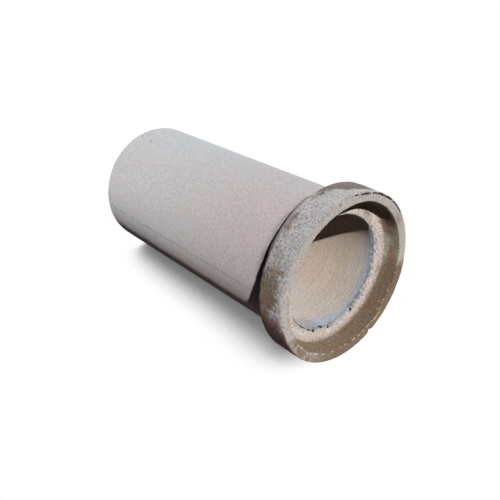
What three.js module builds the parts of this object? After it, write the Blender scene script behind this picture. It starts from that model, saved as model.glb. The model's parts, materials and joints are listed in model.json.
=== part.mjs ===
// A cast concrete drain pipe with a socket at one end and a plain spigot at the other.
// It is one solid of revolution. It lies on its side as it does on level ground: on the
// rear edge of the collar and on the end of the barrel, so its axis runs slightly uphill
// towards the socket. Units are millimetres, +Z is up and the socket opens towards +X.

import * as THREE from 'three';

// Driving sizes.
const BORE_RADIUS = 200;      // clear bore
const WALL = 48;              // barrel wall
const LENGTH = 1098;          // over all, mouth face to spigot end
const MOUTH_GAP = 9;          // space round a spigot at the mouth of the socket
const FOOT_GAP = 1.5;         // space round it at the foot, where the recess centres it
const SOCKET_DEPTH = 56;      // mouth face to the foot of the recess
const SEAT_FALL = 10;         // how much deeper the seat lies at the bore than at the foot
const COLLAR_WALL = 35;       // collar wall at the mouth
const COLLAR_LENGTH = 98;     // mouth face to the start of the rear shoulder
const SHOULDER_RUN = 10;      // length of the steep shoulder behind the collar

// Edge roundings, each the length taken off both sides of its corner.
const ARRIS = 6;              // outer edges, where the mould is filled by vibration
const LIP = 3;                // inner edges, struck off by the core
const FILLET = 7;             // inside corners

// Tessellation. The half step turns a flat facet to the ground.
const SIDES = 96;
const HALF_STEP = Math.PI / SIDES;
const ROUND_STEPS = 3;

const barrelRadius = BORE_RADIUS + WALL;
const mouthRadius = barrelRadius + MOUTH_GAP;
const footRadius = barrelRadius + FOOT_GAP;
const collarRadius = mouthRadius + COLLAR_WALL;

// The section's corners, each with its rounding: x is the radius, y the place along the
// axis, 0 at the mouth face and negative towards the spigot. They run round the wall from
// the spigot end up the outside, over the mouth, and back down through the bore.
function sectionCorners() {
  const shoulderFoot = COLLAR_LENGTH + SHOULDER_RUN;
  return [
    { x: barrelRadius, y: -LENGTH, rounding: ARRIS },
    { x: barrelRadius, y: -shoulderFoot, rounding: FILLET },
    { x: collarRadius, y: -COLLAR_LENGTH, rounding: ARRIS },
    { x: collarRadius, y: 0, rounding: ARRIS },
    { x: mouthRadius, y: 0, rounding: LIP },
    { x: footRadius, y: -SOCKET_DEPTH, rounding: FILLET },
    { x: BORE_RADIUS, y: -(SOCKET_DEPTH + SEAT_FALL), rounding: LIP },
    { x: BORE_RADIUS, y: -LENGTH, rounding: LIP },
  ];
}

// The point on the way from one corner to another where the first one's rounding ends.
function roundingEnd(corner, towards) {
  const from = new THREE.Vector2(corner.x, corner.y);
  const along = new THREE.Vector2(towards.x, towards.y).sub(from).normalize();
  return from.addScaledVector(along, corner.rounding);
}

// A closed outline through the corners, with every corner turned into a short curve.
function roundedOutline(corners) {
  const count = corners.length;
  const outline = new THREE.Path();
  corners.forEach((corner, i) => {
    const start = roundingEnd(corner, corners[(i + count - 1) % count]);
    const end = roundingEnd(corner, corners[(i + 1) % count]);
    if (i === 0) outline.moveTo(start.x, start.y);
    else outline.lineTo(start.x, start.y);
    outline.quadraticCurveTo(corner.x, corner.y, end.x, end.y);
  });
  outline.closePath();
  return outline.getPoints(ROUND_STEPS);
}

function makePipe() {
  const section = roundedOutline(sectionCorners());
  const geometry = new THREE.LatheGeometry(section, SIDES, HALF_STEP);
  const concrete = new THREE.MeshStandardMaterial({
    color: 0xb8b0a9,
    roughness: 0.95,
    metalness: 0,
  });
  const pipe = new THREE.Mesh(geometry, concrete);
  pipe.name = 'pipe';
  pipe.rotation.z = -Math.PI / 2;
  return pipe;
}

// The slope of the line that touches the collar's rear edge and the spigot end.
function restingSlope() {
  const rise = (collarRadius - barrelRadius) * Math.cos(HALF_STEP);
  const run = (LENGTH - ARRIS) - (COLLAR_LENGTH - ARRIS);
  return Math.atan2(rise, run);
}

// Lays the pipe on level ground, with the middle of its box over the origin.
function layDown(pipe) {
  const laid = new THREE.Group();
  laid.add(pipe);
  laid.rotation.y = -restingSlope();
  const box = new THREE.Box3().setFromObject(laid, true);
  laid.position.set(-(box.min.x + box.max.x) / 2, 0, -box.min.z);
  return laid;
}

const model = new THREE.Group();
model.add(layDown(makePipe()));

export default model;
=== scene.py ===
# %% [markdown]
# # A concrete sewer pipe
# The pipe is one casting: a plain barrel, a thick collar round a shallow socket, and a bore
# right through. The solid of it comes packed with its real sizes. This script puts on what
# a casting has and a clean solid lacks: rough skin, chipped edges, air holes, mould seams,
# soil and stains.

# %% Load the imported solid
import itertools
import json
import math

import bpy
import numpy as np
from mathutils import Euler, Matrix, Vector


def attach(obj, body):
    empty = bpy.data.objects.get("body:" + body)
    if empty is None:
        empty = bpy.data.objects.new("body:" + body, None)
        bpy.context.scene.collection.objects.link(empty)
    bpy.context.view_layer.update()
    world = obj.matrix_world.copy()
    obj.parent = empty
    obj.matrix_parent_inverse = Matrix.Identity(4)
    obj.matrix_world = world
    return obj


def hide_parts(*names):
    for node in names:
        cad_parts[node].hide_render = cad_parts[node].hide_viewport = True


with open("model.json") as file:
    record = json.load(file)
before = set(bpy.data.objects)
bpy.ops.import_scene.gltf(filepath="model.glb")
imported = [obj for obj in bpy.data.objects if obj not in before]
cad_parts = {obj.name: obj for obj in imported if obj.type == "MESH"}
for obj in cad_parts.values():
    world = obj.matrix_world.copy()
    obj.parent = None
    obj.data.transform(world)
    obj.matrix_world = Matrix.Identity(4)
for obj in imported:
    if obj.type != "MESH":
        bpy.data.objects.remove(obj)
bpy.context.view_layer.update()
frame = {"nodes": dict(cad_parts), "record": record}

# %% [markdown]
# ## Where the pipe lies
# A pipe with a collar can't lie level: it rests on the collar's rear edge and on the end of
# the barrel, so its axis climbs towards the socket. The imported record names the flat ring
# round the mouth and gives the direction it faces, which is the axis itself. The corners of
# the solid that lie in that ring's plane are spread evenly round the axis, so the middle of
# their box is the centre of the mouth.

# %% Axis, crown and mouth
ring = next(m for m in frame["record"]["mounts"] if m["name"] == "socket_face")
AXIS = np.array(ring["axis"]) / np.linalg.norm(ring["axis"])
SIDE = np.array([0.0, -1.0, 0.0])  # the pipe's left, seen from the spigot
CROWN = np.cross(SIDE, AXIS)  # straight up, square to the axis

node = frame["nodes"]["pipe"]
solid = np.empty(3 * len(node.data.vertices))
node.data.vertices.foreach_get("co", solid)
solid = solid.reshape(-1, 3)
behind_mouth = (solid - np.array(ring["pos_m"])) @ AXIS
on_ring = solid[np.abs(behind_mouth) < 1e-4]
MOUTH = (on_ring.min(axis=0) + on_ring.max(axis=0)) / 2
TILT = math.atan2(AXIS[2], AXIS[0])
print("mouth centre, m:", MOUTH.round(4), "axis climbs, degrees:", round(math.degrees(TILT), 2))

# %% [markdown]
# ## The camera
# It stands a few steps off the mouth, above it and to the left, so that it sees into the
# socket and along the barrel. Two angles and the distance from its aim place it.

# %% Camera
AZIMUTH = 49.55  # degrees, 0 looks along +Y and 90 along -X
ELEVATION = 30.55  # degrees above the horizon
DISTANCE = 2.3083  # metres from the aim
AIM = Vector((0.0668, 0.0, 0.1895))
LENS = 44.06  # millimetres, on a sensor 36 wide


def direction(azimuth, elevation):
    """The unit vector from the middle of things towards a place given by two angles."""
    a, e = math.radians(azimuth), math.radians(elevation)
    return Vector((math.sin(a) * math.cos(e), -math.cos(a) * math.cos(e), math.sin(e)))


def put(name, data):
    """A new object in the scene that shows a mesh, a lamp or a camera."""
    made = bpy.data.objects.new(name, data)
    bpy.context.collection.objects.link(made)
    return made


lens = bpy.data.cameras.new("camera")
lens.lens = LENS
lens.sensor_width = 36
lens.clip_end = 200
camera = put("camera", lens)
towards_camera = direction(AZIMUTH, ELEVATION)
camera.location = AIM + DISTANCE * towards_camera
camera.rotation_euler = towards_camera.to_track_quat("Z", "Y").to_euler()
bpy.context.scene.camera = camera
print("camera at", tuple(round(v, 3) for v in camera.location))

# %% [markdown]
# ## The wall's section
# Turned all the way round the axis, one closed outline gives the whole pipe. It is drawn in
# two numbers: the place along the axis (0 at the mouth, negative inwards) and the radius.
# Corners are softened by short curves. The runs between them are cut into steps that are
# small where the eye goes, on the collar, seat and mouth, and large along the plain barrel.

# %% Sizes of the section, in metres
BORE_R, BARREL_R = 0.200, 0.248
MOUTH_R, FOOT_R = 0.257, 0.2495
COLLAR_R, COLLAR_LENGTH, SHOULDER = 0.292, 0.098, 0.010
SOCKET_DEPTH, SEAT_FALL = 0.056, 0.010
LENGTH = 1.098
ARRIS, LIP, FILLET = 0.006, 0.003, 0.007
WORN_ARRIS, SILTED_FOOT = 0.011, 0.014  # corners that wear and soil have softened
OVERRUN = 0.004  # cement that crept past the mould's ring
BEVEL_RUN, BEVEL_DROP, BEVEL_PUSH = 0.0195, 0.010, 0.007  # on the left, struck off in a bevel

# The run that follows each corner: name, place, radius, rounding, step.
RUNS = [
    ("barrel", -LENGTH, BARREL_R, ARRIS, 0.022),
    ("shoulder", -(COLLAR_LENGTH + SHOULDER), BARREL_R, FILLET, 0.003),
    ("collar", -(COLLAR_LENGTH + OVERRUN), COLLAR_R, WORN_ARRIS, 0.0032),
    ("face", 0.0, COLLAR_R, WORN_ARRIS, 0.0029),
    ("recess", 0.0, MOUTH_R, LIP, 0.0038),
    ("seat", -SOCKET_DEPTH, FOOT_R, SILTED_FOOT, 0.0030),
    ("bore", -(SOCKET_DEPTH + SEAT_FALL), BORE_R, LIP, 0.005),
    ("bore_deep", -0.200, BORE_R, 0.0, 0.030),
    ("cut_end", -LENGTH, BORE_R, LIP, 0.008),
]
CURVE_STEPS = 5


def section(runs):
    """A closed outline as rows of (place, radius), and the first row of each run.

    Each corner is the curve (1-t)^2 a + 2t(1-t) corner + t^2 b, where a and b lie the
    rounding before and after it. A straight run fills the way to the next corner."""
    places = np.array([(run[1], run[2]) for run in runs])
    rounding = np.array([run[3] for run in runs])
    to_next = np.roll(places, -1, axis=0) - places
    to_next /= np.linalg.norm(to_next, axis=1, keepdims=True)
    starts = places - rounding[:, None] * np.roll(to_next, 1, axis=0)
    ends = places + rounding[:, None] * to_next
    rows, first = [], {}
    for k, (name, _, _, soft, step) in enumerate(runs):
        t = np.linspace(0, 1, CURVE_STEPS + 1 if soft else 1)[:, None]
        rows.append((1 - t) ** 2 * starts[k] + 2 * t * (1 - t) * places[k] + t ** 2 * ends[k])
        goal = starts[(k + 1) % len(runs)]
        count = max(1, round(np.linalg.norm(goal - ends[k]) / step))
        between = np.arange(1, count)[:, None] / count
        first[name] = sum(len(r) for r in rows) - 1
        rows.append(ends[k] + between * (goal - ends[k]))
    return np.concatenate(rows), first


outline, first_row = section(RUNS)
to_following = np.roll(outline, -1, axis=0) - outline
stretch = np.linalg.norm(to_following, axis=1)
along = np.concatenate([[0.0], np.cumsum(stretch)[:-1]])  # metres along the outline
OUTLINE_LENGTH = stretch.sum()
print(len(outline), "rows round the wall,", round(OUTLINE_LENGTH, 3), "m of outline")

# %% [markdown]
# Each row needs to know which way is out of the concrete. The slope of the outline is taken
# between its two neighbours and turned a quarter, which points away from the wall.

# %% Outward direction of each row
slope = np.roll(outline, -1, axis=0) - np.roll(outline, 1, axis=0)
slope /= np.linalg.norm(slope, axis=1, keepdims=True)
out_along, out_across = -slope[:, 1], slope[:, 0]

# %% [markdown]
# ## Round the pipe
# The columns are evenly spaced, with a few more at the two seams where the halves of the
# outer mould met, half a turn apart. Angles run from the crown, and are positive on the
# side that the camera sees. The join of the unrolled skin is at the very bottom.

# %% Columns and the bare grid
AROUND = 432
SEAM_ANGLE = 93.4  # degrees from the crown
even = np.linspace(-180, 180, AROUND, endpoint=False)
beside = np.array([-0.50, -0.25, 0.0, 0.25, 0.50])  # degrees from a seam
angle = np.unique(np.concatenate([even, SEAM_ANGLE + beside, SEAM_ANGLE - 180 + beside]))
theta = np.radians(angle)
spoke = np.cos(theta)[:, None] * CROWN + np.sin(theta)[:, None] * SIDE


def turned(place, radius):
    """Points MOUTH + place AXIS + radius (cos CROWN + sin SIDE), for every row and column."""
    return MOUTH + place[..., None] * AXIS + radius[..., None] * spoke


def ramp_up(x, low, high):
    """0 below low, 1 above high, and t*t*(3-2t) between them."""
    t = np.clip((x - low) / (high - low), 0, 1)
    return t * t * (3 - 2 * t)


def joined(x, knots):
    """Straight lines through the points x: value of a dictionary, level beyond its ends."""
    return np.interp(x, list(knots), list(knots.values()))


def degrees_from(at):
    """Degrees between each column and an angle, the short way round."""
    return np.abs((angle - at + 180) % 360 - 180)


def arc(start, stop, soft):
    """1 between two angles, falling to 0 over some degrees about each. Either angle may pass
    the bottom of the pipe."""
    half = (stop - start) / 2
    return 1 - ramp_up(degrees_from((start + stop) / 2), half - soft / 2, half + soft / 2)


# %% [markdown]
# The front arris is worn quite round above and on the left, but along the bottom and the
# right it lay in the soil and is still crisp. There, the rows of the rounded corner are
# drawn in towards the corner itself. The lip of the socket is crisp near the crown. Behind
# the collar, high on the left, cement crept further back and was struck off in a bevel.

# %% Crisp arrises
place = np.repeat(outline[:, :1], len(theta), axis=1)
radius = np.repeat(outline[:, 1:], len(theta), axis=1)


def sharpen(name, keep):
    """Move a corner's rows, column by column, to corner + keep (point - corner)."""
    rows = slice(first_row[name] - CURVE_STEPS, first_row[name] + 1)
    _, corner_s, corner_r = next(run[:3] for run in RUNS if run[0] == name)
    place[rows] = corner_s + keep * (place[rows] - corner_s)
    radius[rows] = corner_r + keep * (radius[rows] - corner_r)


DRAWN_FRONT, DRAWN_LIP = 0.72, 0.60  # how far the rows go to the corner
crisp = arc(128, 350, 20)
sharpen("face", 1 - DRAWN_FRONT * crisp)
sharpen("recess", 1 - DRAWN_LIP * arc(-5, 40, 16))
rear = slice(first_row["shoulder"] - CURVE_STEPS, first_row["collar"] + 1)
creep = joined(angle, {8: 0.008, 24: 0.006, 38: 0})
struck = place[first_row["collar"]] - creep - (COLLAR_R - radius[rear]) * BEVEL_RUN / BEVEL_DROP
pushed = place[rear] - creep - BEVEL_PUSH
place[rear] += (np.maximum(struck, pushed) - place[rear]) * arc(12, 60, 12)
bare = turned(place, radius)
print("grid of", bare.shape[0], "by", bare.shape[1], "points")

# %% [markdown]
# ## Masks that follow the shape
# The finish changes from the barrel to the collar, the mouth, the recess, the seat and the
# bore. Each zone is a soft window along the outline, 1 inside and 0 outside. Another measure
# tells how close a row lies to a corner, where concrete wears, chips or gathers dirt. Both
# are columns of numbers, one for each row, and multiply with values that go round the pipe.

# %% Soft windows along the outline
BLEND = 0.003  # metres


def window(start, stop):
    """1 between two places on the outline, falling to 0 over a few millimetres."""
    rise = ramp_up(along, start - BLEND, start + BLEND)
    return (rise * (1 - ramp_up(along, stop - BLEND, stop + BLEND)))[:, None]


def corner_place(name):
    """Where the corner before a run lies along the outline."""
    return along[first_row[name] - CURVE_STEPS // 2]


def near(names, reach):
    """1 at the corners before the named runs, falling to 0 at the given reach."""
    gaps = [np.abs(along - corner_place(name)) for name in names]
    gap = np.minimum(np.min(gaps, axis=0), OUTLINE_LENGTH - np.max(gaps, axis=0))
    return (1 - ramp_up(gap, 0, reach))[:, None]


ZONES = ["collar", "face", "recess", "seat", "bore", "cut_end"]
limits = [corner_place(name) for name in ["shoulder", *ZONES[1:]]] + [OUTLINE_LENGTH]
zone = {name: window(*limits[k:k + 2]) for k, name in enumerate(ZONES)}
collar, face, recess, seat, bore, cut_end = zone.values()
print("rows in each zone:", {name: int(weight.sum()) for name, weight in zone.items()})

# %% [markdown]
# ## Noise
# Concrete is uneven at every scale. Random numbers on a cubic lattice, blended smoothly in
# between, give bumps of one size anywhere in space, with no seam round the pipe.

# %% Lattice noise
def lattice_noise(points, cell, seed):
    """Smooth values from -1 to 1: random numbers at the corners of cubes with the given
    edge, blended along each axis with the weights t*t*(3-2t)."""
    table = np.random.default_rng(seed).uniform(-1, 1, 8192)
    base = np.floor(points / cell).astype(np.int64)
    t = points / cell - base
    t = t * t * (3 - 2 * t)
    total = np.zeros(points.shape[:-1])
    for corner in itertools.product((0, 1), repeat=3):
        x, y, z = np.moveaxis(base + corner, -1, 0)
        number = table[(x * 73856093 ^ y * 19349663 ^ z * 83492791) % len(table)]
        total += number * np.where(corner, t, 1 - t).prod(axis=-1)
    return total


def blotches(cell, seed):
    """Two sizes of lattice noise on the bare grid, the second half as large and strong."""
    return (lattice_noise(bare, cell, seed) + 0.5 * lattice_noise(bare, cell / 2, seed + 1)) / 1.5


# %% [markdown]
# ## Relief
# The height of the skin is a sum: slow waves from the mould, a rough crust on the collar
# and the seat, small bites out of the edges, wear, a notch knocked out of the rim, a smear of
# old mortar on the collar's crown, and the thin fins that concrete makes where it creeps
# into the seams of the mould. All of it is small, six millimetres at most.

# %% Waves and crust
def tell_relief(step):
    """Print how far the skin lies in and out of the clean outline."""
    print(step, "give", round(1000 * height.min(), 2), "to", round(1000 * height.max(), 2), "mm")


WAVE, CRUST, GRIT = 0.0005, 0.0005, 0.00035  # metres up and down
crusty = collar + face + recess + 0.8 * seat
height = WAVE * blotches(0.110, 1) + CRUST * crusty * blotches(0.024, 3)
height += GRIT * crusty * blotches(0.009, 5)
tell_relief("waves and crust")

# %% Bites out of the edges
EDGE = 0.012  # metres that an edge reaches
WEAR, BITE, BURR, CHIP = 0.0003, 0.0016, 0.0011, 0.0022  # metres deep, or high for the burr
worn_edge = near(["collar", "face", "recess", "bore"], EDGE) ** 2
worn_edge = worn_edge * (1 - 0.7 * crisp * near(["face"], 0.016))
bites = ramp_up(blotches(0.012, 7), 0.15, 0.75) + 0.6 * ramp_up(blotches(0.006, 9), 0.1, 0.7)
height -= (WEAR + BITE * bites) * worn_edge
height += BURR * near(["face"], EDGE) * arc(140, 350, 20)  # on the crisp arris
chipped = near(["bore"], 0.014) * arc(-158, -92, 16)
height -= CHIP * chipped * ramp_up(blotches(0.010, 21), -0.1, 0.5)
tell_relief("bites")


# %% Places on the skin
def gap_round(at, reach_radius):
    """Distance round the pipe, in metres, from each column to an angle."""
    return degrees_from(at) * math.pi / 180 * reach_radius


def patch(s, r, degrees, long, deep, wide):
    """A mound exp(-d*d) at a place given by its millimetres behind the mouth, radius and
    angle. The other three are its half-sizes: along the axis, across it and round it."""
    off = ((1000 * place + s) / long) ** 2 + ((1000 * radius - r) / deep) ** 2
    return np.exp(-off - (1000 * gap_round(degrees, r / 1000) / wide) ** 2)


def patches(rows):
    """The sum of several patches. Each row is a strength and then what patch() takes."""
    return sum(row[0] * patch(*row[1:]) for row in rows)


# %% Wear, notch and mortar
WORN_FRONT, WORN_LIP, NOTCH, MORTAR = 0.0012, 0.0026, 0.0065, 0.0042  # metres
height -= WORN_FRONT * near(["face"], 0.010) * arc(-100, -66, 14)
height -= WORN_LIP * near(["recess"], 0.010) * arc(-60, -10, 14)
height -= NOTCH * patch(0, 292, -153.5, 9, 9, 6)
smear = arc(-26, 10, 16) * ramp_up(-place, 0.030, 0.050) * collar
height += MORTAR * smear * (1 - 0.35 * ramp_up(-place, 0.070, 0.098))
tell_relief("wear, notch and mortar")

# %% [markdown]
# The core that shaped the socket sat a little out of true. On the right the recess narrows
# more towards its foot, the seat dips there, and near the crown the bore's edge hangs lower.

# %% Out of true
NARROWING, DIP, OVERHANG = 0.0055, 0.006, 0.0035  # metres
inwards = joined(along, {corner_place("recess"): 0, corner_place("seat"): 1})[:, None]
height += NARROWING * inwards * recess * arc(-104, -66, 12)
height -= DIP * seat * (1 - near(["bore"], 0.050)) * arc(-66, -8, 20)
height += OVERHANG * near(["bore"], 0.030) * arc(-40, 24, 24)
tell_relief("narrowing and dip")

# %% Fins at the mould's seams
FIN_HEIGHT, FIN_WIDTH = 0.0009, 0.0016  # metres
inside = face + recess + seat + bore + cut_end
to_seam = np.minimum(gap_round(SEAM_ANGLE, BARREL_R), gap_round(SEAM_ANGLE - 180, BARREL_R))
broken = 0.55 + 0.45 * blotches(0.030, 11)
height += (1 - inside) * FIN_HEIGHT * broken * np.exp(-(to_seam / FIN_WIDTH) ** 2)

# %% [markdown]
# Single pits and three long lines are placed one by one. On the mouth's ring a line of pits
# runs along the outer edge near the crown, where the mould leaked and the cement washed out.
# A narrow gap follows the edge of the bore low on the left, and small pits carry it on round
# the edge. Along the lip of the socket runs a broken pale line, a painted highlight where the
# edge catches the lamp. A thin line falls between the points of the mesh, so what the mesh keeps
# is the distance to the line, in centimetres, and how much of it is left. The material draws
# the line from these two.

# %% Pits
def tell_cover(name, mask):
    """Print how much of the grid a mask covers."""
    print(name, "on", round(100 * float((mask > 0.5).mean()), 1), "% of the points")


PITS = [  # how dark; millimetres behind the mouth, radius, degrees; half-size
    (1.0, 0, 281, 11, 4.0), (1.0, 0, 283, 22, 3.5),  # on the mouth's ring
    (0.6, 45, 292, 20, 3.5), (0.6, 48, 292, 30, 3.2),  # on the collar
    (0.65, 1005, 248, 17, 7.0), (0.5, 193, 200, -132, 5.5),  # on barrel and bore
    (1.4, 63.5, 212.4, -153, 6.5), (1.4, 64.4, 208.4, 155.5, 6.0),  # at the bore's edge
    (1.2, 64, 209.7, 176, 5.5), (1.2, 68.5, 200.3, 167, 6.0), (1.0, 74, 200, 165.8, 6.5),
    (0.8, 65, 203, -124, 4.5), (0.7, 64.6, 207, -110, 4.5), (0.8, 65, 204, -140, 4.5),
]
pits = np.clip(patches([(*pit, pit[-1], pit[-1]) for pit in PITS]), 0, 1)
tell_cover("pits", pits)


# %% Long lines
def gap_to(position, knots):
    """Distance to a line through the knots, angle: position. Positions are millimetres, the
    distance is in centimetres and at most 1 to either side."""
    return np.clip((position - joined(angle, knots)) / 10, -1, 1)


leak_gap = gap_to(1000 * radius, {
    -56: 291.5, -48: 291.2, -43: 290.5, -35: 288.5, -26: 286.5, -18: 285.0, -12: 284.5,
    -6: 284.5, 0: 286.5, 5: 288.0, 10: 287.0})
leak_gap = leak_gap * joined(angle, {-34: 0.80, -20: 1.0})  # a wider line on the right
leak = joined(angle, {-60: 0, -55: 1.2, -24: 1.05, -15: 1.02, -4: 0.95, 1: 0.75, 10: 0.66, 15: 0})
leak = leak * ramp_up(place, -0.012, -0.008)

past_bore = 1000 * (along - corner_place("bore"))[:, None]  # millimetres into the bore
edge_gap = gap_to(past_bore, {
    -180: -8, -150: -10, -120: -5, -95: 0, 0: 1, 118: -2.4, 134: -4.0, 141: -5.2, 153: -7.7,
    165: -5, 180: -8})
edge_flaw = joined(angle, {
    -180: 0.45, -155: 0.5, -130: 0.6, -100: 0.55, -92: 0.85, -64: 0.90, -56: 0, 112: 0,
    119: 1.4, 150: 1, 159: 0.5, 180: 0.45})
edge_flaw = edge_flaw * (seat + bore)

past_lip = 1000 * (along - corner_place("recess"))[:, None]  # millimetres into the recess
lip_gap = gap_to(past_lip, {
    -180: 0, -171: -2.5, -164: -5.5, -158: -4.5, -151: -6, -146: -11, -140: -10, -136: 2,
    -129: 4, -124: 1, -114: 3, -104: 2, -95: -3, -86: -3, 120: -8, 129: -4, 138: -9, 144: -6,
    150: -5, 156: -7, 168: -3, 180: 0})
# Painted highlight along the lip of the socket, where its edge catches the lamp.
lip_highlight = joined(angle, {
    -180: .72, -166: .78, -150: .95, -118: .74, -92: .74, -82: 0, 118: 0, 124: .78, 156: .80,
    168: .70, 180: .72})
lip_highlight = lip_highlight * (face + recess)

# %% Sink the pits and the two dark lines
SUNK, LINE_WIDTH = 0.0034, 0.28  # metres, centimetres
along_lines = leak * arc(-18, 8, 10) * np.exp(-(leak_gap / LINE_WIDTH) ** 2)
along_lines += edge_flaw * np.exp(-(edge_gap / LINE_WIDTH) ** 2)
along_lines *= ramp_up(blotches(0.011, 13), -0.45, 0.05)
height -= SUNK * np.clip(pits + along_lines, 0, 1)
tell_relief("pits and lines")

# %% [markdown]
# ## Where the dirt is
# The pipe has lain on the ground. Brown soil coats the recess, thinly on the right, runs
# over the lower half of the mouth's ring and fills the foot of the seat there. Outside,
# grime thickens towards the ground, and grey ash-like dirt lies on the collar's crown; towards
# the collar's rear edge the same grey is partly dirt and partly painted shade. These amounts
# change slowly, so they are kept at the points of the mesh. The ragged outline of each stain is
# left to the material.

# %% Soil
depth = 1000 * -place  # millimetres behind the mouth
past_foot = 1000 * (along - corner_place("seat"))[:, None]  # millimetres into the seat
FOOT_MM = [-60, -35, -22, -12, -6, 0, 5, 15, 25, 32]
SOIL_AT_FOOT = {  # where round the pipe: weight by angle, share of soil at FOOT_MM
    "right": ({-118: 0, -104: 1, -58: 1, -44: 0}, [.90, .86, .64, .34, .20, .08, .02, 0, 0, 0]),
    "top": ({-58: 0, -44: 1, 112: 1, 124: 0}, [.97, .97, .97, .95, .85, .40, .15, 0, 0, 0]),
    "left": ({112: 0, 124: 1, 146: 1, 160: 0}, [.97, .97, .95, .88, .70, .42, .26, .08, 0, 0]),
    "low": ({-118: 1, -104: 0, 146: 0, 160: 1}, [.97, .97, .95, .80, .68, .54, .40, .16, .04, 0]),
}
soil = sum(joined(angle, weight) * np.interp(past_foot, FOOT_MM, share)
           for weight, share in SOIL_AT_FOOT.values())
soil *= recess + seat
soil *= 1 - arc(-98, -62, 14) * joined(past_foot, {-60: 0.82, -25: 0.75, -8: 0.95, 0: 0.9})
soil += 0.36 * patch(59.5, 234, -106, 9, 11, 26)
on_face = 0.96 * arc(157, 262, 10) + 0.62 * arc(114, 157, 12)
soil += face * (on_face + 0.40 * blotches(0.018, 23) * arc(108, 190, 12))
soil = np.clip(soil, 0, 1)
tell_cover("soil", soil)

# %% Grime
down = np.abs(angle)
GRIMY = [  # strength; millimetres behind the mouth, radius, degrees; three half-sizes
    (0.22, 62, 292, 74, 30, 20, 34), (0.40, 6, 292, 97, 10, 20, 60), (0.35, 5, 292, 109, 9, 20, 36),
    (0.35, 84, 292, 94, 12, 20, 26), (0.25, 66, 292, 84, 14, 20, 22),
    (0.40, 78, 292, 40, 12, 20, 50), (0.35, 70, 292, 88, 26, 20, 30),
    (0.95, 77, 292, 10, 9, 20, 14), (0.80, 71, 292, 4, 8, 20, 12),
    (0.70, 86, 292, 14, 8, 20, 12), (0.62, 84, 292, 33, 9, 20, 26),
    (-0.85, 42, 292, 93, 22, 20, 28),  # rubbed off at the seam
]
GRIMY_INSIDE = [(0.45, 1, 257, 100, 10, 9, 80), (0.36, 64, 211, 128, 12, 14, 60)]
grime = ramp_up(down, 42, 92) * ramp_up(depth, 0, 40) + 0.9 * ramp_up(down, 98, 116)
grime += patches(GRIMY) + 0.40 * blotches(0.011, 37) * arc(58, 122, 20)
grime += 0.35 * near(["collar"], EDGE)
grime = np.clip(grime, 0, 1) * collar + patches(GRIMY_INSIDE)
tell_cover("grime", grime)

# %% Ash-grey dirt on the crown, and dirt with painted shade at the rear of the collar
ash_front = joined(angle, {
    -30: 16, -20: 18, -14: 22, -9: 30, -4: 38, 0: 50, 4: 68, 8: 82, 12: 92, 22: 98})
ragged_front = depth - ash_front + 8 * blotches(0.014, 35)
grey_dirt_and_shade = arc(-90, 13, 8) * ramp_up(angle, -105, -30) * ramp_up(ragged_front, -7, 7)
# At the collar's rear edge: partly dirt, partly painted shade on the bevel and shaded side.
rear_dirt_and_shade = joined(angle, {5: 0, 11: .60, 22: .60, 30: .50, 46: .52, 60: .90, 112: .90, 122: 0})
from_corner = depth - joined(angle, {8: 7, 24: 6, 38: 0})
grey_dirt_and_shade = np.maximum(grey_dirt_and_shade, rear_dirt_and_shade * joined(from_corner, {88: 0, 97: 1})) * collar

# %% [markdown]
# Behind the collar the barrel has a grey band, partly dust and partly painted shade, which
# widens the collar's shadow. A little of the same grey dirt lies low on the left in the recess
# and in the foot of the bore. The crown of the barrel is a little cooler in tone than its sides.

# %% Dust and painted shade behind the collar, and a cooler crown
off_collar = (radius > (BORE_R + BARREL_R) / 2) * (1 - collar)
# Partly dust, partly painted shade: a grey band on the barrel behind the collar.
dust_and_shade = joined(angle, {
    0: 0, 8: .5, 22: .6, 35: .66, 46: .66, 56: .5, 62: .9, 76: .9, 95: .4, 110: 0})
dust_and_shade = dust_and_shade * joined(depth, {
    106: 0, 116: 1, 147: 1, 153: .85, 158: .6, 164: .3, 172: .12, 186: 0})
in_recess = 0.42 * arc(122, 168, 14) * recess
in_bore = 0.36 * arc(140, 169, 12) * bore * (1 - ramp_up(depth, 120, 170))
for more in (dust_and_shade * off_collar, in_recess, in_bore):
    grey_dirt_and_shade = np.maximum(grey_dirt_and_shade, more)
# The crown of the barrel is made cooler in tone than its sides.
cooler_crown = arc(-70, 13, 46) * off_collar
tell_cover("grey dirt", grey_dirt_and_shade)

# %% [markdown]
# Water stands in the foot of the bore. It leaves a pale blue band there, with a dark ragged
# wet edge towards the seat.

# %% Damp and the wet edge
ragged_bore = past_bore + 4.5 * blotches(0.013, 31)
damp = joined(ragged_bore, {
    -26: 0, -14: .28, -4: .48, 2: .78, 12: .85, 20: .62, 28: .42, 40: .15, 55: 0})
damp = damp * joined(angle, {
    -180: .86, -145: 1, -130: 1.1, -95: 1.1, -72: .8, -56: .2, 108: 0, 125: .2, 140: .36,
    155: .62, 180: .86})
pale_foot = joined(past_bore, {0: 0, 20: 1, 60: .7, 90: 0}) * arc(126, 190, 20)
damp = np.clip(damp + 0.50 * pale_foot, 0, 1)
wet = joined(ragged_bore, {-26: 0, -18: .25, -10: .5, -3: .78, 4: .75, 10: .35, 16: 0})
wet = wet * joined(angle, {
    -180: .78, -172: .5, -160: .5, -148: .8, -136: .9, -124: .66, -112: .9, -100: .62, -88: .6,
    -70: .72, -55: .4, 100: 0, 118: .3, 142: .45, 154: .72, 166: .66, 180: .78})
tell_cover("damp", damp)

# %% [markdown]
# Other tones change over wide areas, and several of them are painted light and shade. The
# deep bore is painted warmer where the lamp lights it, and the recess on the right is painted
# paler where the lamp grazes it past its shadow. Under the crown, bore and recess are darkened
# by painted shade. The belly of the pipe is painted dark, with red soil and painted shade
# together, and a strip of the barrel just above it is painted paler where the light fades.

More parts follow.
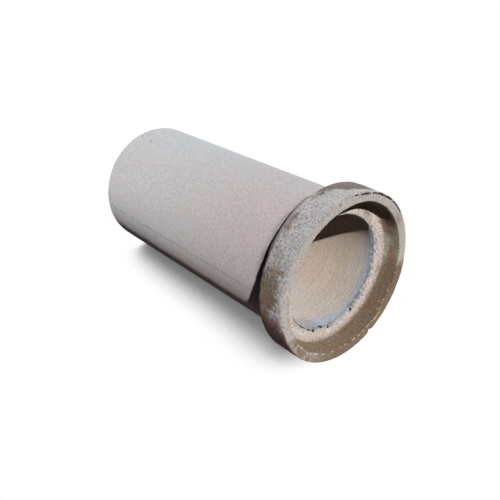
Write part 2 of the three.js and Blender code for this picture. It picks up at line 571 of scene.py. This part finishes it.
# %% Wide changes of tone, with painted light and shade among them
# Painted warm light: the deep bore is warmed where the lamp lights it.
painted_warm_light = bore * ramp_up(depth, 100, 220) * arc(-150, -66, 34)
# Painted light: on the right the recess is made paler where the lamp grazes it past its shadow.
painted_light_right = joined(past_foot, {-60: .55, -40: .45, -12: .9, -4: 1})
painted_light_right = painted_light_right * recess * arc(-97, -58, 8)
# Painted shade: the upper inside of bore and recess, out of the lamp's reach, is darkened.
shade_under_crown = (bore + recess) * arc(-68, 98, 26)
barrel = 1 - inside - collar
# Painted shade with red soil: the belly is darkened towards the ground, past the lamp's reach.
ragged_belly = down + 0.12 * (depth - 56) + 7 * blotches(0.011, 47)
shade_and_soil_below = barrel * arc(119, 196, 7) + 0.93 * collar * ramp_up(ragged_belly, 97, 111)
# Painted light: a strip of the barrel above the belly is made paler where the light fades.
painted_light_low = barrel * arc(107, 117, 8)
tell_cover("red soil below", shade_and_soil_below)

# %% [markdown]
# Knocks leave pale flecks of bare cement along the lip of the socket, and the edge of the
# bore crumbles on the right. The mould's seam stands out pale on the front of the collar,
# where the grime is rubbed off. Rusty and mossy spots lie in the grime and in the recess,
# and rust also follows the fading edge of the soil.

# %% Bare pale cement
FLECKS = [  # millimetres behind the mouth, radius, degrees, length round the pipe
    (0, 264, -95.7, 3), (16, 254.8, -132.6, 3), (8, 256, -138.4, 3), (0, 269, -145.7, 9),
    (0, 262, -164.5, 8), (0, 261.2, 128.6, 4), (0, 267.6, 138, 4), (0, 262.6, 149, 4),
]
pale = sum(patch(s, r, at, 3.4, 2.8, wide) for s, r, at, wide in FLECKS)
crumbs = ramp_up(blotches(0.0075, 33), 0.12, 0.32) * arc(-150, -90, 12)
pale += crumbs * joined(past_bore, {-24: 0, -16: 1, 3: 1, 7: 0})
pale = np.clip(pale, 0, 1)
fin_at = math.radians(SEAM_ANGLE - 2)
seam_gap = gap_to(1000 * COLLAR_R * theta, {0: 1000 * COLLAR_R * fin_at})
seam_pale = ramp_up(depth, 6, 12) * (1 - ramp_up(depth, 58, 76)) * collar
tell_cover("pale cement", pale)

# %% Rust and moss
RUSTY = [  # strength; millimetres behind the mouth, radius, degrees; three half-sizes
    (1.0, 85, 292, 40, 15, 20, 12), (0.9, 47, 292, 66, 22, 20, 14), (0.9, 66, 292, 86, 26, 20, 20),
    (0.9, 75, 292, 104, 30, 20, 40), (0.45, 70, 292, 9, 16, 20, 20),
    (0.7, 22, 292, 100, 20, 20, 24), (0.8, 50, 292, 110, 40, 20, 30),
    (0.8, 60, 223, -42, 14, 18, 36), (0.9, 34, 254, -64, 34, 20, 14),
    (0.9, 41, 252, -71, 15, 20, 22), (0.95, 27, 254, -93, 12, 20, 26),
]
MOSSY = [
    (0.55, 66, 292, 54, 24, 20, 26), (1.0, 74, 292, 76, 26, 20, 26), (0.7, 24, 292, 66, 16, 20, 16),
    (0.6, 0, 274, -60, 9, 20, 40), (0.45, 12, 256, -80, 16, 20, 26),
    (0.34, 63, 211, -48, 12, 14, 44),
]
rust = patches(RUSTY) + 1.6 * soil * (1 - soil) * (recess + seat)
rust += 0.55 * ramp_up(blotches(0.026, 43), 0.10, 0.50) * recess * (1 - painted_light_right)
moss = patches(MOSSY) + 0.45 * ramp_up(blotches(0.030, 41), 0.10, 0.50) * recess
tell_cover("rust", rust)

# %% Roughness of the skin
speck = collar * joined(angle, {-40: .3, 8: .35, 20: 1, 72: 1, 84: .8, 98: 1, 140: 1})
speck += 0.42 * face + 0.25 * recess
speck += seat * (0.45 + 0.45 * ramp_up(past_bore, -26, -12) + 0.40 * arc(-150, -50, 30))
speck = speck * (1 - 0.7 * np.clip(grey_dirt_and_shade, 0, 1))
tell_cover("rough skin", speck)

# %% [markdown]
# ## The mesh
# Rows and columns both close on themselves, so the skin has no open edge. The unrolled map
# gives each corner of each face its place along the outline and its share of a turn, and it
# runs on past the join instead of jumping back.

# %% Build the pipe
outwards = out_along[:, None, None] * AXIS + out_across[:, None, None] * spoke
points = bare + height[..., None] * outwards
rows, columns = height.shape
row, column = np.meshgrid(np.arange(rows), np.arange(columns), indexing="ij")
corner_row = np.stack([row, row, row + 1, row + 1], axis=-1)
corner_column = np.stack([column, column + 1, column + 1, column], axis=-1)
faces = corner_row % rows * columns + corner_column % columns
skin = bpy.data.meshes.new("pipe_skin")
skin.from_pydata(points.reshape(-1, 3), [], faces.reshape(-1, 4))
turn_at = angle / 360 + 0.5
u = np.append(along, OUTLINE_LENGTH)[corner_row]
v = np.append(turn_at, turn_at[0] + 1)[corner_column]
unrolled = skin.uv_layers.new(name="unrolled")
unrolled.data.foreach_set("uv", np.stack([u, v], axis=-1).ravel())
skin.polygons.foreach_set("use_smooth", np.ones(len(skin.polygons), bool))
print(len(skin.polygons) * 2, "triangles")

# %% Masks and the piece
masks = dict(
    zone, soil=soil, grime=grime, grey_dirt_and_shade=grey_dirt_and_shade, damp=damp, wet=wet, painted_light_right=painted_light_right, painted_warm_light=painted_warm_light,
    rust=rust, moss=moss, pits=pits, pale=pale, speck=speck, cooler_crown=cooler_crown, painted_light_low=painted_light_low,
    shade_under_crown=shade_under_crown, shade_and_soil_below=shade_and_soil_below, leak=leak, leak_gap=leak_gap,
    edge_flaw=edge_flaw, edge_gap=edge_gap, lip_highlight=lip_highlight, lip_gap=lip_gap,
    seam_pale=seam_pale, seam_gap=seam_gap)
for name, values in masks.items():
    layer = skin.attributes.new(name, "FLOAT", "POINT")
    layer.data.foreach_set("value", np.broadcast_to(values, (rows, columns)).ravel())
skin.update()
pipe = put("pipe_skin", skin)
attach(pipe, "root")
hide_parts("pipe")
print(len(masks), "masks on the skin")

# %% [markdown]
# ## Small tools for shader trees
# A material is a graph of nodes. These helpers keep the graphs short. The main one adds a
# node and fills its sockets, linking the values that are sockets themselves. Colours are
# written as 0 to 255, as on a paint chart.

# %% Helpers for nodes
def paint(red, green, blue):
    """A chart colour as a linear one: c/12.92 when dark, else ((c+.055)/1.055)^2.4."""
    chart = [c / 255 for c in (red, green, blue)]
    return tuple(c / 12.92 if c < 0.04045 else ((c + 0.055) / 1.055) ** 2.4 for c in chart) + (1,)


def fill(tree, made, sockets):
    """Fill or link a node's sockets, given by name or number."""
    for socket, value in dict(sockets).items():
        if isinstance(value, bpy.types.NodeSocket):
            tree.links.new(value, made.inputs[socket])
        else:
            made.inputs[socket].default_value = value


def add(tree, kind, sockets=(), **settings):
    """A new node with its settings made and its sockets filled or linked."""
    made = tree.nodes.new("ShaderNode" + kind)
    for setting, value in settings.items():
        setattr(made, setting, value)
    fill(tree, made, sockets)
    return made


def calc(tree, operation, *values):
    """One Math node's result."""
    return add(tree, "Math", enumerate(values), operation=operation).outputs[0]


def soft_step(tree, value, low, high, bottom=0.0, top=1.0):
    """A smooth ramp of a value from bottom to top between two limits."""
    sockets = {"Value": value, "From Min": low, "From Max": high, "To Min": bottom, "To Max": top}
    return add(tree, "MapRange", sockets, interpolation_type="SMOOTHSTEP").outputs["Result"]


def mixed(tree, factor, first, second, blend="MIX"):
    """Two colours blended by a factor. With "MULTIPLY" the second one tints the first."""
    sockets = {"Factor": factor, "A": first, "B": second}
    return add(tree, "Mix", sockets, data_type="RGBA", blend_type=blend).outputs["Result"]


def noise(tree, vector, scale, detail, roughness=0.5):
    """Smooth noise about one half, with so many lumps to the metre."""
    sockets = {"Vector": vector, "Scale": scale, "Detail": detail, "Roughness": roughness}
    return add(tree, "TexNoise", sockets).outputs["Fac"]


def seen_directly(tree):
    """1 for rays from the camera, also those mirrored or let through, and 0 for the rest."""
    path = add(tree, "LightPath").outputs
    seen = calc(tree, "MAXIMUM", path["Is Camera Ray"], path["Is Glossy Ray"])
    return calc(tree, "MAXIMUM", seen, path["Is Transmission Ray"])


def new_group(name, inputs, outputs):
    """An empty node group; inputs are name: value, whose kind decides the socket's."""
    group = bpy.data.node_groups.new(name, "ShaderNodeTree")
    by_length = {3: "NodeSocketVector", 4: "NodeSocketColor"}
    for label, value in inputs.items():
        kind = by_length[len(value)] if isinstance(value, tuple) else "NodeSocketFloat"
        socket = group.interface.new_socket(name=label, in_out="INPUT", socket_type=kind)
        socket.default_value = value
    for label in outputs:
        kind = "NodeSocketColor" if label == "Colour" else "NodeSocketFloat"
        group.interface.new_socket(name=label, in_out="OUTPUT", socket_type=kind)
    start = group.nodes.new("NodeGroupInput")
    end = group.nodes.new("NodeGroupOutput")
    return group, start.outputs, end.inputs


def use(tree, group, **sockets):
    """Place a group and give its outputs; underscores stand for spaces in socket names."""
    filled = {name.replace("_", " "): value for name, value in sockets.items()}
    return add(tree, "Group", filled, node_tree=group).outputs


# %% [markdown]
# ## Shader groups
# Six effects make the concrete. Each is built once as a group and used with other values
# wherever it is needed. They give out only values, masks and colours.
#
# *Mottle* is plain noise of a given size, from 0 to 1 about one half.

# %% Mottle
ZERO = (0.0, 0.0, 0.0)
mottle, given, result = new_group(
    "mottle", {"Vector": ZERO, "Size": 0.01, "Detail": 2.0, "Contrast": 1.5}, ["Value"])
scale = calc(mottle, "DIVIDE", 1.0, given["Size"])
lumps = noise(mottle, given["Vector"], scale, given["Detail"])
spread = calc(mottle, "MULTIPLY", calc(mottle, "SUBTRACT", lumps, 0.5), given["Contrast"])
middle = add(mottle, "Math", {0: spread, 1: 0.5}, operation="ADD", use_clamp=True)
mottle.links.new(middle.outputs[0], result["Value"])

# %% [markdown]
# *Air holes* are the round pits that bubbles leave against a mould. Space is cut into cells,
# a share of the cells has a hole near its middle, and the holes differ in size.

# %% Air holes
air_holes, given, result = new_group(
    "air holes", {"Vector": ZERO, "Spacing": 0.01, "Reach": 0.002, "Share": 0.4}, ["Mask"])
scale = calc(air_holes, "DIVIDE", 1.0, given["Spacing"])
cells = add(air_holes, "TexVoronoi", {"Vector": given["Vector"], "Scale": scale})
chance = add(air_holes, "SeparateColor", {"Color": cells.outputs["Color"]}).outputs
metres = calc(air_holes, "MULTIPLY", cells.outputs["Distance"], given["Spacing"])
size = calc(air_holes, "MULTIPLY", given["Reach"], calc(air_holes, "ADD", chance["Green"], 0.35))
hole = soft_step(air_holes, calc(air_holes, "DIVIDE", metres, size), 1.0, 0.35)
kept = calc(air_holes, "LESS_THAN", chance["Red"], given["Share"])
air_holes.links.new(calc(air_holes, "MULTIPLY", hole, kept), result["Mask"])

# %% [markdown]
# *Stain* lays one colour over another where an amount says so. Noise is added to the amount
# before it is cut, so the stain gets a ragged edge and loose spots, and the stain's own
# colour varies between two tones.

# %% Stain
stain, given, result = new_group("stain", {
    "Colour": (0.5, 0.5, 0.5, 1.0), "Stain": (0.2, 0.2, 0.2, 1.0),
    "Second tone": (0.1, 0.1, 0.1, 1.0), "Amount": 0.0, "Vector": ZERO, "Size": 0.01,
    "Raggedness": 0.6, "Softness": 0.2, "Strength": 1.0}, ["Colour", "Mask"])
scale = calc(stain, "DIVIDE", 1.0, given["Size"])
rag = calc(stain, "SUBTRACT", noise(stain, given["Vector"], scale, 4.0, 0.6), 0.5)
pushed = calc(stain, "MULTIPLY_ADD", rag, given["Raggedness"], given["Amount"])
cut = soft_step(stain, pushed, calc(stain, "SUBTRACT", 0.5, given["Softness"]),
                calc(stain, "ADD", 0.5, given["Softness"]))
covered = calc(stain, "MULTIPLY", cut, given["Strength"])
tones = noise(stain, given["Vector"], calc(stain, "MULTIPLY", scale, 1.7), 3.0)
tone = mixed(stain, soft_step(stain, tones, 0.38, 0.62), given["Stain"], given["Second tone"])
stain.links.new(mixed(stain, covered, given["Colour"], tone), result["Colour"])
stain.links.new(covered, result["Mask"])

# %% [markdown]
# *Turned lines* are the fine rings that the spinning core leaves in the bore. The noise is
# squeezed along the axis and stretched across it, so it draws rings. *Seam line* marks the
# plane through the axis in which the halves of the mould met: the distance from that plane
# is the dot product with the direction square to it.

# %% Turned lines and seam line
turned_lines, given, result = new_group(
    "turned lines", {"Vector": ZERO, "Spacing": 0.005}, ["Value"])
across = calc(turned_lines, "DIVIDE", 1.0, given["Spacing"])
squeeze = add(turned_lines, "CombineXYZ", {"X": across, "Y": 5.0, "Z": 5.0}).outputs["Vector"]
squeezed = add(turned_lines, "VectorMath", {0: given["Vector"], 1: squeeze}, operation="MULTIPLY")
rings = noise(turned_lines, squeezed.outputs["Vector"], 1.0, 2.0)
turned_lines.links.new(rings, result["Value"])

seam_line, given, result = new_group(
    "seam line", {"Vector": ZERO, "Square to": (0.0, 0.0, 1.0), "Width": 0.003}, ["Mask"])
both = {0: given["Vector"], 1: given["Square to"]}
off = add(seam_line, "VectorMath", both, operation="DOT_PRODUCT").outputs["Value"]
share = calc(seam_line, "DIVIDE", calc(seam_line, "ABSOLUTE", off), given["Width"])
line = soft_step(seam_line, share, 1.0, 0.2)
gaps = soft_step(seam_line, noise(seam_line, given["Vector"], 38.0, 2.0), 0.40, 0.55)
seam_line.links.new(calc(seam_line, "MULTIPLY", line, gaps), result["Mask"])

# %% [markdown]
# *Broken line* draws a line where a mesh attribute gives the distance to it in centimetres.
# Noise widens and narrows the line, so that it falls apart into dashes and beads. The amount
# says how much of it is left.

# %% Broken line
broken_line, given, result = new_group("broken line", {
    "Gap": 1.0, "Amount": 1.0, "Width": 0.15, "Vector": ZERO, "Size": 0.008}, ["Mask"])
scale = calc(broken_line, "DIVIDE", 1.0, given["Size"])
beads = noise(broken_line, given["Vector"], scale, 2.0)
least = calc(broken_line, "MULTIPLY_ADD", given["Amount"], -0.42, 0.78)
swell = soft_step(broken_line, beads, least, calc(broken_line, "ADD", least, 0.16))
reach = calc(broken_line, "MULTIPLY_ADD", swell, given["Width"], 0.001)
off = calc(broken_line, "DIVIDE", calc(broken_line, "ABSOLUTE", given["Gap"]), reach)
line = calc(broken_line, "MULTIPLY", soft_step(broken_line, off, 1.0, 0.5), swell)
broken_line.links.new(line, result["Mask"])
print("groups:", [group.name for group in bpy.data.node_groups])

# %% [markdown]
# ## Cast concrete
# The colour starts from the barrel's cement, pinkish near the collar and cooler at the far
# end. The other parts of the pipe take their own cement colour over it, zone by zone, and
# then come damp, grime, soil and spots, each with a ragged edge. Everything is patterned in
# the metres of the piece itself. A Mapping node turns those metres so that the first one
# runs along the pipe's axis and is 0 at the mouth.

# %% Coordinates and masks
concrete = bpy.data.materials.new("cast_concrete")
concrete.use_nodes = True
tree = concrete.node_tree
here = add(tree, "TexCoord").outputs["Object"]
turn = Euler((0, TILT, 0))
shift = Vector(MOUTH)
shift.rotate(turn)
pipe_metres = add(tree, "Mapping", {
    "Vector": here, "Rotation": tuple(turn), "Location": tuple(-shift)}).outputs["Vector"]
mask = {name: add(tree, "Attribute", attribute_name=name).outputs["Fac"] for name in masks}

fine = use(tree, mottle, Vector=here, Size=0.0022, Detail=3.0, Contrast=2.2)["Value"]
spots = use(tree, mottle, Vector=here, Size=0.0072, Detail=2.5, Contrast=3.0)["Value"]
cloud = use(tree, mottle, Vector=here, Size=0.060, Detail=4.0, Contrast=1.8)["Value"]

# %% Cement colours
along_axis = add(tree, "SeparateXYZ", {"Vector": pipe_metres}).outputs["X"]
drift = calc(tree, "MULTIPLY_ADD", cloud, 0.5, along_axis)
NEAR_CEMENT, FAR_CEMENT = paint(193, 183, 182), paint(195, 193, 195)
COOLER = (0.90, 0.965, 1.0, 1.0)  # how much cooler the crown is, in red, green and blue
LOW_LIGHT_TINT = (1.32, 1.20, 1.22, 1.0)  # painted light, low on the barrel where the lamp's light fades
CEMENTS = {  # zone: cement, second tone
    "collar": ((190, 187, 187), (174, 171, 171)),
    "face": ((188, 180, 175), (176, 169, 162)),
    "recess": ((158, 146, 130), (142, 130, 112)),
    "seat": ((211, 199, 190), (197, 183, 172)),
    "bore": ((195, 184, 175), (188, 177, 167)),
    "cut_end": ((178, 171, 165), (166, 159, 152)),
}


def lay(colour, name, first, second, size=0.012, ragged=0.3, soft=0.25, strength=1.0):
    """Lay a stain of two tones over a colour where the mask of that name says so."""
    return use(tree, stain, Colour=colour, Stain=paint(*first), Second_tone=paint(*second),
               Amount=mask[name], Vector=here, Size=size, Raggedness=ragged, Softness=soft,
               Strength=strength)


colour = mixed(tree, soft_step(tree, drift, 0.10, -0.70), NEAR_CEMENT, FAR_CEMENT)
colour = mixed(tree, mask["cooler_crown"], colour, COOLER, "MULTIPLY")
# Painted light low on the barrel.
colour = mixed(tree, mask["painted_light_low"], colour, LOW_LIGHT_TINT, "MULTIPLY")
for name, tones in CEMENTS.items():
    colour = lay(colour, name, *tones)["Colour"]

# %% Stains over the cement, with painted light and shade among them
STAINS = {  # mask: two tones, size of its raggedness, raggedness, softness, strength
    # The first two are painted light: warm light in the lit bore, and grazing light in the recess.
    "painted_warm_light": ((214, 182, 148), (200, 174, 146), 0.030, 0.4, 0.50, 0.30),
    "painted_light_right": ((190, 178, 164), (168, 158, 142), 0.010, 0.9, 0.50, 0.85),
    "damp": ((164, 171, 184), (172, 175, 184), 0.016, 0.4, 0.50, 1.00),
    "wet": ((130, 134, 142), (100, 103, 110), 0.007, 1.1, 0.35, 0.90),
    "grime": ((132, 116, 106), (98, 80, 68), 0.012, 1.3, 0.50, 0.94),
    # The grey of this stain is partly dirt and partly painted shade behind the collar.
    "grey_dirt_and_shade": ((114, 104, 101), (124, 113, 109), 0.014, 0.5, 0.42, 0.95),
    "soil": ((131, 114, 96), (117, 98, 79), 0.014, 0.5, 0.50, 0.98),
    "rust": ((152, 118, 96), (104, 74, 58), 0.009, 1.5, 0.40, 0.66),
    "moss": ((128, 121, 92), (88, 82, 58), 0.010, 1.4, 0.40, 0.75),
}
covered = {}
for name, row in STAINS.items():
    laid = lay(colour, name, *row)
    colour = laid["Colour"]
    covered[name] = laid["Mask"]

# %% [markdown]
# The seams show as a thin dark broken line on the barrel. Air holes are many where the skin
# is rough, and few elsewhere, and are painted darker: painted shade in them. Knocks and the
# fin of the seam show as pale bare cement, and the socket's lip gets a painted highlight in
# that tone. The placed pits and the two dark lines are painted nearly black inside: painted shade.

# %% Seam, holes, lines and flecks
seam_normal = (0.0, -math.cos(math.radians(SEAM_ANGLE)), -math.sin(math.radians(SEAM_ANGLE)))
seam = use(tree, seam_line, Vector=pipe_metres, Square_to=seam_normal, Width=0.0030)["Mask"]
mouth = calc(tree, "ADD", mask["collar"], calc(tree, "ADD", mask["face"], mask["seat"]))
plain_outside = calc(tree, "SUBTRACT", 1.0, calc(tree, "MAXIMUM", mouth, mask["bore"]))
small = use(tree, air_holes, Vector=here, Spacing=0.0105, Reach=0.0034, Share=0.50)["Mask"]
stray = use(tree, air_holes, Vector=here, Spacing=0.030, Reach=0.0030, Share=0.40)["Mask"]
many = calc(tree, "POWER", mask["speck"], 1.6)
holes = calc(tree, "MAXIMUM", calc(tree, "MULTIPLY", small, many), stray)

LINES = {  # line: masks of its gap and amount, half-width in centimetres, size of its beads
    "leak": ("leak_gap", "leak", 0.46, 0.0110),
    "crack": ("edge_gap", "edge_flaw", 0.30, 0.0080),
    "ridge": ("seam_gap", "seam_pale", 0.40, 0.0160),
    "lip": ("lip_gap", "lip_highlight", 0.50, 0.0135),
}
drawn = {
    name: use(tree, broken_line, Gap=mask[gap], Amount=mask[amount], Vector=here, Width=width,
              Size=size)["Mask"]
    for name, (gap, amount, width, size) in LINES.items()}
flaws = calc(tree, "MAXIMUM", drawn["leak"], drawn["crack"])
flaws = calc(tree, "MAXIMUM", soft_step(tree, mask["pits"], 0.25, 0.80), flaws)
# Pale flecks of bare cement, joined by the painted highlight along the lip.
flecks_and_lip_highlight = calc(tree, "MULTIPLY", mask["pale"], calc(tree, "ADD", fine, 0.5))
flecks_and_lip_highlight = calc(tree, "MAXIMUM", soft_step(tree, flecks_and_lip_highlight, 0.25, 0.75),
              calc(tree, "MULTIPLY", drawn["lip"], 0.62))

# %% Marks over the stains, and two wide tints of painted shade, one with red soil
MARKS = [  # mask, strength, colour
    (calc(tree, "MULTIPLY", seam, plain_outside), 0.55, (108, 97, 94)),
    # Painted shade: air holes are darkened.
    (holes, 0.60, (92, 84, 80)),
    (flecks_and_lip_highlight, 0.75, (224, 213, 196)),
    (drawn["ridge"], 0.85, (216, 208, 206)),
    # Painted shade: the pits and the two dark lines are nearly black inside.
    (flaws, 0.95, (38, 32, 30)),
]
SHADE_UNDER_CROWN = (0.66, 0.61, 0.56, 1.0)  # painted shade under the crown, where the lamp never reaches
SHADE_AND_RED_SOIL = (0.28, 0.16, 0.15, 1.0)  # and below, painted shade together with red soil
for where, strength, chart in MARKS:
    colour = mixed(tree, calc(tree, "MULTIPLY", where, strength), colour, paint(*chart))
# Painted shade under the crown inside, and below, painted shade with red soil on the belly.
colour = mixed(tree, mask["shade_under_crown"], colour, SHADE_UNDER_CROWN, "MULTIPLY")
colour = mixed(tree, mask["shade_and_soil_below"], colour, SHADE_AND_RED_SOIL, "MULTIPLY")

# %% [markdown]
# Last comes the grain. Fine and coarse mottle lighten and darken the colour, by a tenth or
# two on plain skin and twice as much where it is rough, and the turned lines do so in the
# bore. The same noises lift and lower the surface through a Bump node, in millimetres.

# %% Grain, bump and shader
HOLE_DEPTH = 0.9  # millimetres
lines = use(tree, turned_lines, Vector=pipe_metres, Spacing=0.0060)["Value"]
lines = calc(tree, "MULTIPLY", calc(tree, "SUBTRACT", lines, 0.5), mask["bore"])


def swing(value, least, most):
    """A value less one half, times least on plain skin and most where it is rough."""
    reach = calc(tree, "MULTIPLY_ADD", mask["speck"], most - least, least)
    return calc(tree, "MULTIPLY", calc(tree, "SUBTRACT", value, 0.5), reach)


grain = calc(tree, "ADD", swing(fine, 0.13, 0.18), swing(spots, 0.23, 0.54))
grain = calc(tree, "ADD", grain, swing(cloud, 0.07, 0.10))
grain = calc(tree, "ADD", grain, calc(tree, "MULTIPLY_ADD", lines, 0.42, 1.0))
shaded = add(tree, "VectorMath", {0: colour, "Scale": grain}, operation="SCALE").outputs["Vector"]

lift = calc(tree, "ADD", swing(fine, 0.10, 0.20), swing(spots, 0.30, 1.5))
lift = calc(tree, "ADD", lift, calc(tree, "MULTIPLY", lines, 0.5))
sunk = calc(tree, "MULTIPLY", calc(tree, "MAXIMUM", holes, flaws), HOLE_DEPTH)
lift = calc(tree, "SUBTRACT", lift, sunk)
bump = add(tree, "Bump", {"Height": lift, "Strength": 1.0, "Distance": 0.001}).outputs["Normal"]
rough = calc(tree, "MULTIPLY_ADD", spots, 0.12, 0.84)
rough = calc(tree, "ADD", rough, calc(tree, "MULTIPLY", covered["soil"], 0.04))

fill(tree, tree.nodes["Principled BSDF"], {
    "Base Color": shaded, "Roughness": rough, "Normal": bump, "Diffuse Roughness": 1.0,
    "Specular IOR Level": 0.20})
skin.materials.append(concrete)
print(len(tree.nodes), "nodes in", concrete.name)

# %% [markdown]
# ## Light
# One clear lamp from high on the mouth's side draws the hard shadows in the socket. The sky
# fills them a little, and a weak broad lamp behind keeps the far side readable.

# %% Lamps and sky
def distant_lamp(name, azimuth, elevation, energy, width):
    """A lamp at no particular distance, of a width in degrees as seen from the pipe."""
    light = bpy.data.lights.new(name, "SUN")
    light.energy = energy
    light.angle = math.radians(width)
    towards_lamp = direction(azimuth, elevation)
    put(name, light).rotation_euler = towards_lamp.to_track_quat("Z", "Y").to_euler()


distant_lamp("key", azimuth=66.2, elevation=42.3, energy=3.2, width=1.5)
distant_lamp("back_fill", azimuth=235, elevation=12, energy=0.70, width=60)
SKY_LIGHT, WHITE = (0.012, 0.012, 0.0135, 1), (1, 1, 1, 1)

world = bpy.data.worlds.new("sky")
bpy.context.scene.world = world
world.use_nodes = True
sky = world.node_tree
above = mixed(sky, seen_directly(sky), SKY_LIGHT, WHITE)
fill(sky, sky.nodes["Background"], {"Color": above})

# %% [markdown]
# ## Floor
# The floor is a large pale sheet. The camera sees it white, with the pipe's soft shadow on
# it, which an Ambient Occlusion node works out from how much of the sky the pipe hides. In
# front of the mouth the key lamp reaches under the rim, so the shadow fades out there. All
# other rays meet a plain matt floor.

# %% Floor
REACH = 40  # metres from the pipe to the floor's edge
SKY_HEIGHT = 0.41  # metres of sky that count for the shadow
CLOSED, OPEN = 0.186, 0.579  # shares of open sky where the shadow is full and gone
DARKEST = 0.147  # how bright the full shadow is
FADE_FROM, FADE_TO = 0.39, 0.55  # metres in front of the pipe's middle
MATT_FLOOR = (0.035, 0.023, 0.021, 1)
corners = [(-REACH, -REACH, 0), (REACH, -REACH, 0), (REACH, REACH, 0), (-REACH, REACH, 0)]
sheet = bpy.data.meshes.new("floor")
sheet.from_pydata(corners, [], [(0, 1, 2, 3)])
floor = put("floor", sheet)

floor_paint = bpy.data.materials.new("floor_paint")
floor_paint.use_nodes = True
tree = floor_paint.node_tree
tree.nodes.remove(tree.nodes["Principled BSDF"])
place_on_floor = add(tree, "TexCoord").outputs["Object"]
forward = add(tree, "SeparateXYZ", {"Vector": place_on_floor}).outputs["X"]
open_sky = add(tree, "AmbientOcclusion", {"Distance": SKY_HEIGHT}, samples=16).outputs["AO"]
contact = soft_step(tree, open_sky, CLOSED, OPEN, DARKEST, 1.0)
faded = soft_step(tree, forward, FADE_FROM, FADE_TO)
bright = add(tree, "Mix", {"Factor": faded, "A": contact, "B": 1.0}).outputs["Result"]
seen = add(tree, "Emission", {"Color": WHITE, "Strength": bright}).outputs["Emission"]
matt = add(tree, "BsdfDiffuse", {"Color": MATT_FLOOR}).outputs["BSDF"]
surface = add(tree, "MixShader", {0: seen_directly(tree), 1: matt, 2: seen}).outputs["Shader"]
fill(tree, tree.nodes["Material Output"], {"Surface": surface})
sheet.materials.append(floor_paint)
bpy.context.scene.view_settings.view_transform = "Standard"
